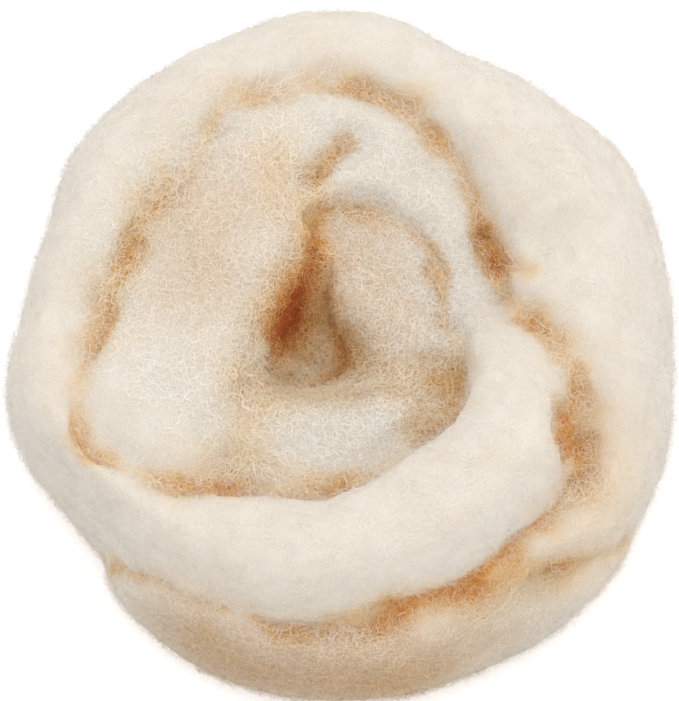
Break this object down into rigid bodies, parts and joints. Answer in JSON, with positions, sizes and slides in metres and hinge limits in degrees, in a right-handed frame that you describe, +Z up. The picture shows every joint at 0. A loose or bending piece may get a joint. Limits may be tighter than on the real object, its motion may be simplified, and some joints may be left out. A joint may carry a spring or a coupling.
{
  "type": "carded wool batt",
  "caption": "Thick soft strip of carded cream wool, rolled up loosely on itself and standing on one end; raw stock for spinning, felting or stuffing.",
  "frame": {"origin": "middle of the roll's outline on the surface it stands on", "axes": "+Z up along the axis the strip is rolled round, -Y towards the side where the strip's loose outer end shows"},
  "size_m": [0.143, 0.1472, 0.0644],
  "materials": {
    "wool": "matt cream carded fleece with warmer creases, fine crimped fibres standing off it all over"
  },
  "bodies": {
    "root": {"wool_batt": "wool"}
  },
  "joints": []
}
